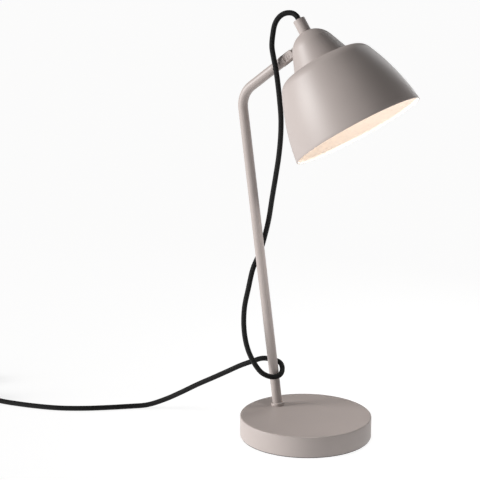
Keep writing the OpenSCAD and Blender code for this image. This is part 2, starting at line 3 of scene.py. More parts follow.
import json
import logging
import math
from dataclasses import dataclass, field
from enum import Enum
from typing import Any, Callable, Optional, Sequence, Union

import bmesh
import bpy
from mathutils import Matrix, Vector


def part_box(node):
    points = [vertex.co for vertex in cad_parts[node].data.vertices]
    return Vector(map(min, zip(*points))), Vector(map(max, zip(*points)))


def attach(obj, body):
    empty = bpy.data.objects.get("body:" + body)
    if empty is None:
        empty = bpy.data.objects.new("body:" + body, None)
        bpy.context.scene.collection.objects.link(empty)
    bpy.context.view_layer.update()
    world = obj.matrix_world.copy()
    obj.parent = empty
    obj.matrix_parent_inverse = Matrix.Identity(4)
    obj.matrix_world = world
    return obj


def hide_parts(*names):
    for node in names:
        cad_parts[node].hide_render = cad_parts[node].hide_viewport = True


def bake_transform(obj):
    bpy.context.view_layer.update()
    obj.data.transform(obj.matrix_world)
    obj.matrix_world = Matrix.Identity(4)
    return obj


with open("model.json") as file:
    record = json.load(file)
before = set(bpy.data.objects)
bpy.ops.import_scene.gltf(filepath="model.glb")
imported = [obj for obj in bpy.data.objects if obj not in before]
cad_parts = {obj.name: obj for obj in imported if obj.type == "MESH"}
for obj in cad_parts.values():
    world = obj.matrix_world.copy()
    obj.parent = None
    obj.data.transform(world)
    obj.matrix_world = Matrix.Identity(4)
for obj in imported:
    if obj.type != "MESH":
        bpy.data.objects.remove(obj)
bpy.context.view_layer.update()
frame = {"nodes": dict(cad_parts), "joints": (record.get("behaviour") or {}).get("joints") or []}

MM = 0.001
LOG = logging.getLogger("lamp")
Number = Union[int, float]
Colour = tuple[float, float, float]
Profile = list[tuple[float, float]]


class Body(Enum):
    """The bodies of the lamp that move apart."""

    STAND = "stand"
    HEAD = "head"
    ROCKER = "rocker"


class Slot(Enum):
    """The record's material slots."""

    POWDER = "powder_coat"
    SHADE = "shade_coat"
    WEIGHT = "cast_weight"
    PAD = "pad"
    ZINC = "zinc_steel"
    HINGE = "hinge_metal"
    NYLON = "nylon"
    BLACK = "black_plastic"
    ROCKER = "rocker_plastic"
    HOLDER = "holder_plastic"
    BRASS = "brass"
    CERAMIC = "ceramic"
    BROWN = "lead_brown"
    BLUE = "lead_blue"
    BRAID = "textile_cord"
    NICKEL = "nickel"
    GLASS = "lit_glass"
    TIE = "tie"


# ---------------------------------------------------------------- shader maths


class Link:
    """A shader socket that takes part in Python expressions."""

    def __init__(self, graph: "Graph", socket: bpy.types.NodeSocket) -> None:
        """Wraps one output socket.

        Args:
            graph: the graph that the socket belongs to.
            socket: the output socket.
        """
        self.graph = graph
        self.socket = socket

    def _math(self, operation: str, *terms: Any) -> "Link":
        """Adds one Math node.

        Args:
            operation: the node's operation.
            terms: its inputs, links or numbers.

        Returns:
            The node's output.
        """
        return self.graph.add("ShaderNodeMath", {"operation": operation}, dict(enumerate(terms)))

    def __add__(self, other: Any) -> "Link":
        """Sum."""
        return self._math("ADD", self, other)

    def __radd__(self, other: Any) -> "Link":
        """Sum with a number on the left."""
        return self._math("ADD", other, self)

    def __sub__(self, other: Any) -> "Link":
        """Difference."""
        return self._math("SUBTRACT", self, other)

    def __rsub__(self, other: Any) -> "Link":
        """Difference from a number on the left."""
        return self._math("SUBTRACT", other, self)

    def __mul__(self, other: Any) -> "Link":
        """Product."""
        return self._math("MULTIPLY", self, other)

    def __rmul__(self, other: Any) -> "Link":
        """Product with a number on the left."""
        return self._math("MULTIPLY", other, self)

    def floor(self) -> "Link":
        """Whole part."""
        return self._math("FLOOR", self)

    def fraction(self) -> "Link":
        """Part after the point."""
        return self._math("FRACT", self)

    def sine(self) -> "Link":
        """Sine of radians."""
        return self._math("SINE", self)

    def above(self, level: Number) -> "Link":
        """One where it is over the level, else nought."""
        return self._math("GREATER_THAN", self, level)

    def power(self, exponent: Number) -> "Link":
        """Raised to a power."""
        return self._math("POWER", self, exponent)


class Graph:
    """One material's node tree."""

    def __init__(self, name: str) -> None:
        """Starts an empty material.

        Args:
            name: the material's name.
        """
        self.material = bpy.data.materials.new(name)
        self.material.use_nodes = True
        self.tree = self.material.node_tree
        self.tree.nodes.clear()

    def add(self, kind: str, settings: dict[str, Any], inputs: dict[Any, Any], out: Any = 0) -> Link:
        """Adds one node.

        Args:
            kind: the node's type.
            settings: its own settings, and "stops" for a ramp.
            inputs: values or links by the socket's name or number.
            out: the output that is wanted, by name or number.

        Returns:
            That output.
        """
        node = self.tree.nodes.new(kind)
        for key, value in settings.items():
            if key == "stops":
                while len(node.color_ramp.elements) < len(value):
                    node.color_ramp.elements.new(0.5)
                for element, (place, tone) in zip(node.color_ramp.elements, value):
                    element.position = place
                    element.color = (tone, tone, tone, 1)
            else:
                setattr(node, key, value)
        for key, value in inputs.items():
            if isinstance(value, Link):
                self.tree.links.new(value.socket, node.inputs[key])
            elif isinstance(value, (tuple, list)) and node.inputs[key].type == "RGBA":
                node.inputs[key].default_value = (*value[:3], 1)
            else:
                node.inputs[key].default_value = value
        return Link(self, node.outputs[out])

    def place(self, scale: Sequence[float] = (1, 1, 1), turn: Sequence[float] = (0, 0, 0)) -> Link:
        """Object coordinates through a Mapping node.

        Args:
            scale: stretch along the axes.
            turn: turn in radians.

        Returns:
            The mapped vector.
        """
        raw = self.add("ShaderNodeTexCoord", {}, {}, "Object")
        return self.add("ShaderNodeMapping", {}, {"Vector": raw, "Scale": scale, "Rotation": turn})

    def noise(self, at: Link, scale: float, detail: float = 2.0, rough: float = 0.5) -> Link:
        """Noise texture.

        Args:
            at: the coordinates.
            scale: repeats a metre.
            detail: octaves.
            rough: weight of the finer octaves.

        Returns:
            Values round one half.
        """
        return self.add(
            "ShaderNodeTexNoise", {}, {"Vector": at, "Scale": scale, "Detail": detail, "Roughness": rough}
        )

    def mix(self, share: Any, low: Any, high: Any) -> Link:
        """Blend of two colours.

        Args:
            share: nought for low and one for high.
            low: first colour.
            high: second colour.

        Returns:
            The blend.
        """
        return self.add("ShaderNodeMix", {"data_type": "RGBA"}, {0: share, 6: low, 7: high}, 2)

    def bump(self, height: Link, depth: float, strength: float = 1.0, base: Optional[Link] = None) -> Link:
        """Bump from a height.

        Args:
            height: the height, round nought to one.
            depth: metres that one stands for.
            strength: share of the effect.
            base: the normal that it is laid over.

        Returns:
            The normal.
        """
        inputs: dict[str, Any] = {"Height": height, "Distance": depth, "Strength": strength}
        if base is not None:
            inputs["Normal"] = base
        return self.add("ShaderNodeBump", {}, inputs)

    def finish(self, **sockets: Any) -> bpy.types.Material:
        """Closes the tree with a Principled shader.

        Args:
            sockets: values or links by socket name, with _ for a space.

        Returns:
            The material.
        """
        named = {key.replace("_", " "): value for key, value in sockets.items()}
        shader = self.add("ShaderNodeBsdfPrincipled", {}, named)
        self.add_output(shader)
        return self.material

    def add_output(self, shader: Link) -> None:
        """Joins a shader to the material's output."""
        output = self.tree.nodes.new("ShaderNodeOutputMaterial")
        self.tree.links.new(shader.socket, output.inputs["Surface"])


# ---------------------------------------------------------------- finishes


def tint(colour: Colour, share: float) -> Colour:
    """A colour made lighter or darker by a share."""
    return (colour[0] * share, colour[1] * share, colour[2] * share)


@dataclass(frozen=True)
class PowderCoat:
    """Satin powder coat: orange peel, fine grain and a slight cloud in the colour."""

    name: str
    colour: Colour
    roughness: float = 0.45
    peel: float = 0.00006
    grain: float = 0.00002
    spread: float = 0.05
    gloss: float = 0.5

    def make(self) -> bpy.types.Material:
        """Builds the material."""
        graph = Graph(self.name)
        at = graph.place()
        cloud = graph.noise(at, 22, 3)
        peel = graph.noise(at, 420, 2)
        grain = graph.noise(at, 2600, 2, 0.6)
        tone = (cloud - 0.5) * 0.9 + (grain - 0.5) * 0.8 + 0.5
        colour = graph.mix(tone, tint(self.colour, 1 - self.spread), tint(self.colour, 1 + self.spread))
        rough = self.roughness + (cloud - 0.5) * 0.08 + (grain - 0.5) * 0.12
        normal = graph.bump(grain, self.grain, 0.8, graph.bump(peel, self.peel, 0.7))
        return graph.finish(
            Base_Color=colour, Roughness=rough, Normal=normal, Specular_IOR_Level=self.gloss
        )


@dataclass(frozen=True)
class Plated:
    """Bare or plated metal with fine turning lines and a few dull spots."""

    name: str
    colour: Colour
    roughness: float = 0.3
    lines: float = 0.000012

    def make(self) -> bpy.types.Material:
        """Builds the material."""
        graph = Graph(self.name)
        along = graph.noise(graph.place((40, 40, 900)), 3, 3)
        spots = graph.noise(graph.place(), 160, 4, 0.6)
        colour = graph.mix(spots, tint(self.colour, 0.86), tint(self.colour, 1.06))
        rough = self.roughness + (along - 0.5) * 0.16 + (spots - 0.5) * 0.2
        return graph.finish(
            Base_Color=colour, Metallic=1.0, Roughness=rough, Normal=graph.bump(along, self.lines, 0.6)
        )


@dataclass(frozen=True)
class Moulded:
    """Moulded plastic with a spark-eroded skin."""

    name: str
    colour: Colour
    roughness: float = 0.5
    texture: float = 0.00003
    spread: float = 0.12

    def make(self) -> bpy.types.Material:
        """Builds the material."""
        graph = Graph(self.name)
        at = graph.place()
        skin = graph.noise(at, 3200, 2, 0.7)
        flow = graph.noise(at, 60, 2)
        tone = (skin - 0.5) * 0.6 + (flow - 0.5) * 0.8 + 0.5
        colour = graph.mix(tone, tint(self.colour, 1 - self.spread), tint(self.colour, 1 + self.spread))
        rough = self.roughness + (flow - 0.5) * 0.12
        return graph.finish(Base_Color=colour, Roughness=rough, Normal=graph.bump(skin, self.texture, 0.7))


@dataclass(frozen=True)
class Cast:
    """Rough cast iron, or foam when it is soft and matt."""

    name: str
    colour: Colour
    roughness: float = 0.8
    metallic: float = 0.6
    cells: float = 700.0
    depth: float = 0.00025

    def make(self) -> bpy.types.Material:
        """Builds the material."""
        graph = Graph(self.name)
        at = graph.place()
        pits = graph.add("ShaderNodeTexVoronoi", {"feature": "F1"}, {"Vector": at, "Scale": self.cells})
        rough_skin = graph.noise(at, self.cells * 0.5, 4, 0.6)
        height = pits * 0.6 + rough_skin * 0.6
        colour = graph.mix(height, tint(self.colour, 0.75), tint(self.colour, 1.3))
        return graph.finish(
            Base_Color=colour,
            Metallic=self.metallic,
            Roughness=self.roughness + (rough_skin - 0.5) * 0.15,
            Normal=graph.bump(height, self.depth, 0.8),
        )


@dataclass(frozen=True)
class Braid:
    """Plaited textile sleeve: two families of strands, one over the other in turn, on the piece's UV map."""

    name: str
    colour: Colour
    strands: int = 8
    pitch: float = 0.0042
    depth: float = 0.00042

    def make(self) -> bpy.types.Material:
        """Builds the material."""
        graph = Graph(self.name)
        laid = graph.add("ShaderNodeUVMap", {"uv_map": "braid"}, {})
        turn = graph.add("ShaderNodeSeparateXYZ", {}, {0: laid}, 0) * self.strands
        run = graph.add("ShaderNodeSeparateXYZ", {}, {0: laid}, 1) * (1 / self.pitch)
        left, right = turn + run, turn - run
        over = ((left.floor() + right.floor()) * 0.5).fraction().above(0.25)
        left_strand = (left.fraction() * math.pi).sine()
        right_strand = (right.fraction() * math.pi).sine()
        height = over * left_strand.power(0.6) + (1 - over) * right_strand.power(0.6)
        fibres = graph.noise(graph.place(), 5200, 2, 0.7)
        lift_and_painted_light = height + (fibres - 0.5) * 0.35
        # colour follows the strands' lift: darker in the grooves between strands, a painted shade, and
        # lighter on their crests, a painted highlight, besides random fibre tone
        colour = graph.mix(lift_and_painted_light, tint(self.colour, 0.45), tint(self.colour, 1.5))
        return graph.finish(
            Base_Color=colour,
            Roughness=0.82 - height * 0.12,
            Normal=graph.bump(lift_and_painted_light, self.depth, 0.9),
            Sheen_Weight=0.04,
            Specular_IOR_Level=0.2,
        )


@dataclass(frozen=True)
class LitGlass:
    """Opal bulb glass that glows, a little unevenly."""

    name: str
    colour: Colour
    strength: float

    def make(self) -> bpy.types.Material:
        """Builds the material."""
        graph = Graph(self.name)
        cloud = graph.noise(graph.place(), 90, 3)
        glow = graph.mix(cloud, tint(self.colour, 0.96), self.colour)
        return graph.finish(
            Base_Color=(0.95, 0.93, 0.9),
            Roughness=0.22 + (cloud - 0.5) * 0.06,
            Emission_Color=glow,
            Emission_Strength=self.strength,
        )


@dataclass(frozen=True)
class HookTape:
    """Soft hook-and-loop tape."""

    name: str
    colour: Colour

    def make(self) -> bpy.types.Material:
        """Builds the material."""
        graph = Graph(self.name)
        loops = graph.noise(graph.place(), 2400, 3, 0.8)
        rows = (graph.add("ShaderNodeSeparateXYZ", {}, {0: graph.place()}, 1) * 4200).sine() * 0.2
        height = loops + rows
        colour = graph.mix(height, tint(self.colour, 0.6), tint(self.colour, 1.7))
        return graph.finish(
            Base_Color=colour, Roughness=0.95 - loops * 0.1, Normal=graph.bump(height, 0.0003, 0.9)
        )


GREIGE: Colour = (0.41, 0.36, 0.34)
SHELF = {
    Slot.POWDER: PowderCoat("powder_coat", GREIGE),
    Slot.SHADE: PowderCoat("shade_coat", GREIGE, roughness=0.47),
    Slot.WEIGHT: Cast("cast_weight", (0.16, 0.16, 0.165)),
    Slot.PAD: Cast("foam_pad", (0.02, 0.02, 0.02), 0.95, 0.0, 1600, 0.0001),
    Slot.ZINC: Plated("zinc_steel", (0.62, 0.63, 0.64), 0.36),
    Slot.HINGE: PowderCoat("hinge_coat", (0.33, 0.3, 0.28), roughness=0.42),
    Slot.NYLON: Moulded("nylon", (0.78, 0.76, 0.72), 0.4),
    Slot.BLACK: Moulded("black_plastic", (0.018, 0.018, 0.019), 0.48),
    Slot.ROCKER: Moulded("rocker_plastic", (0.022, 0.022, 0.023), 0.28, 0.00001),
    Slot.HOLDER: Moulded("holder_plastic", (0.03, 0.03, 0.03), 0.42),
    Slot.BRASS: Plated("brass", (0.72, 0.56, 0.27), 0.28),
    Slot.CERAMIC: Moulded("ceramic", (0.86, 0.84, 0.8), 0.22, 0.00001, 0.03),
    Slot.BROWN: Moulded("lead_brown", (0.24, 0.12, 0.06), 0.45),
    Slot.BLUE: Moulded("lead_blue", (0.08, 0.18, 0.42), 0.45),
    Slot.BRAID: Braid("textile_braid", (0.0055, 0.0055, 0.0055)),
    Slot.NICKEL: Plated("nickel", (0.72, 0.71, 0.69), 0.2),
    Slot.GLASS: LitGlass("lit_glass", (1.0, 0.73, 0.52), 3.9),
    Slot.TIE: HookTape("hook_tape", (0.03, 0.03, 0.03)),
}
ENAMEL = PowderCoat("shade_enamel", (0.88, 0.83, 0.78), roughness=0.5, spread=0.02)


class Paintbox:
    """Makes each finish once and hands it out."""

    def __init__(self) -> None:
        """Starts empty."""
        self.made: dict[str, bpy.types.Material] = {}

    def get(self, finish: Any) -> bpy.types.Material:
        """Material of a finish.

        Args:
            finish: a slot, or a finish of its own.

        Returns:
            The one material that the finish has.
        """
        recipe = SHELF[finish] if isinstance(finish, Slot) else finish
        if recipe.name not in self.made:
            self.made[recipe.name] = recipe.make()
        return self.made[recipe.name]


PAINTS = Paintbox()


# ---------------------------------------------------------------- shaping


def fillet(corners: Sequence[tuple[float, float, float]], steps: int = 8) -> Profile:
    """Rounds the corners of an open profile.

    Args:
        corners: radius from the axis, height, and rounding of each corner.
        steps: pieces of each rounding.

    Returns:
        The profile's points.
    """
    line: Profile = []
    for i, (x, z, r) in enumerate(corners):
        if r <= 0 or i in (0, len(corners) - 1):
            line.append((x, z))
            continue
        here = Vector((x, z))
        back = (Vector(corners[i - 1][:2]) - here).normalized()
        on = (Vector(corners[i + 1][:2]) - here).normalized()
        half = math.acos(max(-1.0, min(1.0, back.dot(on)))) / 2
        centre = here + (back + on).normalized() * (r / math.sin(half))
        first = here + back * (r / math.tan(half)) - centre
        last = here + on * (r / math.tan(half)) - centre
        sweep = first.angle_signed(last)
        for k in range(steps + 1):
            a = -sweep * k / steps
            across = first.x * math.cos(a) - first.y * math.sin(a)
            up = first.x * math.sin(a) + first.y * math.cos(a)
            turned = Vector((across, up))
            line.append(tuple(centre + turned))
    return line


def arc(middle: Vector, radius: float, first: float, last: float, steps: int) -> Profile:
    """Points of an arc.

    Args:
        middle: its middle.
        radius: its radius.
        first: angle of the first point, in radians.
        last: angle of the last point.
        steps: pieces of the arc.

    Returns:
        The points.
    """
    angles = [first + (last - first) * k / steps for k in range(steps + 1)]
    return [(middle.x + radius * math.cos(a), middle.y + radius * math.sin(a)) for a in angles]


def chain(profile: Profile) -> bmesh.types.BMesh:
    """A mesh of one line of edges, in the XZ plane.

    Args:
        profile: radius and height of each point.

    Returns:
        The mesh.
    """
    bm = bmesh.new()
    verts = [bm.verts.new((x, 0, z)) for x, z in profile]
    for a, b in zip(verts, verts[1:]):
        bm.edges.new((a, b))
    return bm


def lathe(profile: Profile, place: Matrix, steps: int = 96, closed: bool = True) -> bmesh.types.BMesh:
    """Spins a profile a full turn round Z.

    Args:
        profile: radius and height of each point; a closed shape's line ends where it starts or on the axis.
        place: where the shape goes.
        steps: pieces of the turn.
        closed: true if the shape has an inside, so that its faces are turned outwards.

    Returns:
        The mesh, in its place.
    """
    bm = chain(profile)
    bmesh.ops.spin(
        bm,
        geom=bm.verts[:] + bm.edges[:],
        cent=(0, 0, 0),
        axis=(0, 0, 1),
        angle=2 * math.pi,
        steps=steps,
        use_merge=True,
        use_duplicate=False,
    )
    bmesh.ops.remove_doubles(bm, verts=bm.verts[:], dist=2e-6)
    if closed:
        bmesh.ops.recalc_face_normals(bm, faces=bm.faces[:])
    bmesh.ops.transform(bm, matrix=place, verts=bm.verts[:])
    return bm


def soften(node: str, width: float, angle: float = 30.0, segments: int = 2) -> bmesh.types.BMesh:
    """A copy of a CAD node with its sharp edges bevelled.

    Args:
        node: the CAD node.
        width: width of the bevel, in metres.
        angle: least angle of an edge that is bevelled, in degrees.
        segments: pieces of the bevel.

    Returns:
        The mesh.
    """
    bm = bmesh.new()
    bm.from_mesh(frame["nodes"][node].data)
    bmesh.ops.remove_doubles(bm, verts=bm.verts[:], dist=1e-6)
    bmesh.ops.dissolve_limit(
        bm,
        angle_limit=math.radians(0.5),
        use_dissolve_boundaries=False,
        verts=bm.verts[:],
        edges=bm.edges[:],
        delimit=set(),
    )
    sharp = [e for e in bm.edges if len(e.link_faces) == 2 and e.calc_face_angle(0) > math.radians(angle)]
    bmesh.ops.bevel(
        bm,
        geom=sharp,
        offset=width,
        offset_type="OFFSET",
        segments=segments,
        profile=0.5,
        affect="EDGES",
        clamp_overlap=True,
        material=-1,
    )
    return bm


def join(first: bmesh.types.BMesh, *others: bmesh.types.BMesh) -> bmesh.types.BMesh:
    """Puts several meshes in one.

    Args:
        first: the mesh that takes the others in.
        others: meshes that are used up.

    Returns:
        The first mesh.
    """
    for other in others:
        spare = bpy.data.meshes.new("spare")
        other.to_mesh(spare)
        other.free()
        first.from_mesh(spare)
        bpy.data.meshes.remove(spare)
    return first


def finish_piece(
    bm: bmesh.types.BMesh,
    name: str,
    slot: Slot,
    body: Optional[Body],
    replaces: Sequence[str] = (),
    paints: Sequence[Any] = (),
    smooth: float = 35.0,
) -> bpy.types.Object:
    """Makes a shown piece of a mesh.

    Args:
        bm: the mesh, which is used up.
        name: the piece's name.
        slot: its material slot in the record.
        body: the body that it moves with; none for a piece that is left without one.
        replaces: CAD nodes that it stands for.
        paints: finishes by material index, if not the slot's own.
        smooth: edges with a greater angle stay sharp, in degrees.

    Returns:
        The object.
    """
    mesh = bpy.data.meshes.new(name)
    bm.to_mesh(mesh)
    bm.free()
    mesh.polygons.foreach_set("use_smooth", [True] * len(mesh.polygons))
    mesh.set_sharp_from_angle(angle=math.radians(smooth))
    for paint in paints or (slot,):
        mesh.materials.append(PAINTS.get(paint))
    piece = bpy.data.objects.new(name, mesh)
    bpy.context.scene.collection.objects.link(piece)
    if body is not None:
        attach(piece, body.value)
    if replaces:
        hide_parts(*replaces)
    LOG.info("%s: %d faces, stands for %s", name, len(mesh.polygons), ", ".join(replaces) or "nothing")
    return piece


def soft_node(node: str, name: str, slot: Slot, body: Body, width: float, **more: Any) -> bpy.types.Object:
    """A CAD node shown with eased edges.

    Args:
        node: the CAD node.
        name: the piece's name.
        slot: its material slot.
        body: the body that it moves with.
        width: width of the bevel, in metres.
        more: other arguments of soften.

    Returns:
        The object.
    """
    return finish_piece(soften(node, width, **more), name, slot, body, (node,))


def dress(node: str, slot: Slot) -> None:
    """Gives a CAD node that is shown as it is its finish.

    Args:
        node: the CAD node.
        slot: its material slot.
    """
    carried = frame["nodes"][node]
    carried.data.materials.clear()
    carried.data.materials.append(PAINTS.get(slot))
    LOG.info("%s: carried over, %s", node, slot.value)


def stand_on(origin: Vector, axis: Vector, side: Vector) -> Matrix:
    """A place from its origin, its Z and its X.

    Args:
        origin: the origin.
        axis: direction of Z.
        side: direction of X, made square to Z.

    Returns:
        The place's matrix.
    """
    z = axis.normalized()
    x = (side - z * side.dot(z)).normalized()
    y = z.cross(x)
    turn = Matrix((x, y, z)).transposed().to_4x4()
    return Matrix.Translation(origin) @ turn


# ---------------------------------------------------------------- the lamp's lines


@dataclass(frozen=True)
class Lines:
    """The places that the sub-assemblies share, in metres."""

    foot: Vector = field(default_factory=lambda: Vector((-47, 14, 26)) * MM)
    lean: float = math.radians(7.8)
    stem_length: float = 388 * MM
    arm_rise: float = math.radians(36.5)
    arm_length: float = 81 * MM
    shade_tilt: float = math.radians(32.5)
    hinge_out: float = 34.027 * MM
    hinge_up: float = 118 * MM

    @property
    def stem(self) -> Vector:
        """Direction of the stem."""
        return Vector((-math.sin(self.lean), 0, math.cos(self.lean)))

    @property
    def arm(self) -> Vector:
        """Direction of the arm."""
        return Vector((math.cos(self.arm_rise), 0, math.sin(self.arm_rise)))

    @property
    def corner(self) -> Vector:
        """Where the lines of stem and arm meet."""
        return self.foot + self.stem * self.stem_length

    @property
    def hinge(self) -> Vector:
        """The hinge's middle, as the record's joint says."""
        joint = next(j for j in frame["joints"] if j["name"] == "head_tilt")
        return Vector(joint["pos_m"])

    @property
    def up_shade(self) -> Vector:
        """The shade's axis, away from its mouth."""
        return Vector((-math.sin(self.shade_tilt), 0, math.cos(self.shade_tilt)))

    @property
    def across_shade(self) -> Vector:
        """Direction from the hinge to the shade's axis."""
        return Vector((math.cos(self.shade_tilt), 0, math.sin(self.shade_tilt)))

    @property
    def rim(self) -> Vector:
        """Middle of the shade's mouth."""
        return self.hinge + self.across_shade * self.hinge_out - self.up_shade * self.hinge_up

    def in_shade(self, height: float = 0.0) -> Matrix:
        """Place on the shade's axis at a height over the rim."""
        return stand_on(self.rim + self.up_shade * height, self.up_shade, self.across_shade)

    def on_stem(self, height: float = 0.0) -> Matrix:
        """Place on the stem's line at a height over the base."""
        return stand_on(self.foot + self.stem * height, self.stem, Vector((1, 0, 0)))


LINES = Lines()


# ---------------------------------------------------------------- studio


@dataclass
class Studio:
    """Plain pale floor, soft light and the camera."""

    eye: Vector = field(default_factory=lambda: Vector((0.835, -1.545, 0.647)))
    forward: Vector = field(default_factory=lambda: Vector((-0.50199, 0.83544, -0.2237)))
    focal: float = 113.69
    sensor: float = 36.0
    floor_half: float = 40.0
    floor_tone: Colour = (0.3, 0.3, 0.3)
    floor_glow: float = 0.84

    def camera(self) -> None:
        """Places the camera."""
        data = bpy.data.cameras.new("camera")
        data.lens, data.sensor_width = self.focal, self.sensor
        data.clip_start, data.clip_end = 0.05, 200
        camera = bpy.data.objects.new("camera", data)
        camera.matrix_world = stand_on(self.eye, -self.forward, Vector((0.85717, 0.51504, 0)))
        bpy.context.scene.collection.objects.link(camera)
        bpy.context.scene.camera = camera

    def floor(self) -> None:
        """Lays the floor."""
        bm = bmesh.new()
        bmesh.ops.create_grid(bm, x_segments=2, y_segments=2, size=self.floor_half)
        mesh = bpy.data.meshes.new("floor")
        bm.to_mesh(mesh)
        bm.free()
        graph = Graph("floor_paint")
        paint = graph.finish(
            Base_Color=self.floor_tone,
            Roughness=0.9,
            Emission_Color=(1, 1, 1),
            Emission_Strength=self.floor_glow,
            Specular_IOR_Level=0.0,
        )
        mesh.materials.append(paint)
        floor = bpy.data.objects.new("floor", mesh)
        bpy.context.scene.collection.objects.link(floor)

    def sun(self, name: str, towards: Sequence[float], power: float, spread: float, colour: Colour) -> None:
        """Adds one soft, far light.

        Args:
            name: the light's name.
            towards: the direction that its light travels.
            power: its strength.
            spread: its size, in degrees.
            colour: its colour.
        """
        data = bpy.data.lights.new(name, "SUN")
        data.energy, data.angle, data.color = power, math.radians(spread), colour
        light = bpy.data.objects.new(name, data)
        light.rotation_mode = "QUATERNION"
        light.rotation_quaternion = Vector(towards).to_track_quat("-Z", "Y")
        bpy.context.scene.collection.objects.link(light)

    def panel(
        self, name: str, at: Sequence[float], aim: Sequence[float], power: float, size: tuple[float, float]
    ) -> bpy.types.Object:
        """Adds one soft panel light.

        Args:
            name: the light's name.
            at: its place.
            aim: the point that it looks at.
            power: its power, in watts.
            size: its two sides.

        Returns:
            The light.
        """
        data = bpy.data.lights.new(name, "AREA")
        data.shape, data.size, data.size_y = "RECTANGLE", size[0], size[1]
        data.energy = power
        light = bpy.data.objects.new(name, data)
        light.location = at
        light.rotation_mode = "QUATERNION"
        light.rotation_quaternion = (Vector(aim) - Vector(at)).to_track_quat("-Z", "Y")
        light.visible_camera = False
        bpy.context.scene.collection.objects.link(light)
        return light

    def light(self) -> None:
        """Sets the world and the lights."""
        world = bpy.data.worlds.new("world")
        world.use_nodes = True
        sky = world.node_tree.nodes["Background"]
        sky.inputs["Color"].default_value = (1.0, 0.985, 0.975, 1)
        sky.inputs["Strength"].default_value = 0.12
        bpy.context.scene.world = world
        self.sun("key", (0.751, 0.608, -0.259), 3.7, 28, (1.0, 0.99, 0.985))
        shade = LINES.rim + LINES.up_shade * 60 * MM
        self.panel("edge_strip", shade + Vector((0.02, 0.58, 0.22)), shade, 1.1, (0.2, 0.6))
        glow = LINES.rim + LINES.up_shade * 4 * MM
        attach(self.panel("lamp_glow", glow, glow - LINES.up_shade, 0.6, (0.1, 0.1)), Body.HEAD.value)
        bpy.context.scene.view_settings.view_transform = "Standard"

    def build(self) -> None:
        """Sets up everything round the lamp but the camera."""
        self.floor()
        self.light()


# ---------------------------------------------------------------- the lead


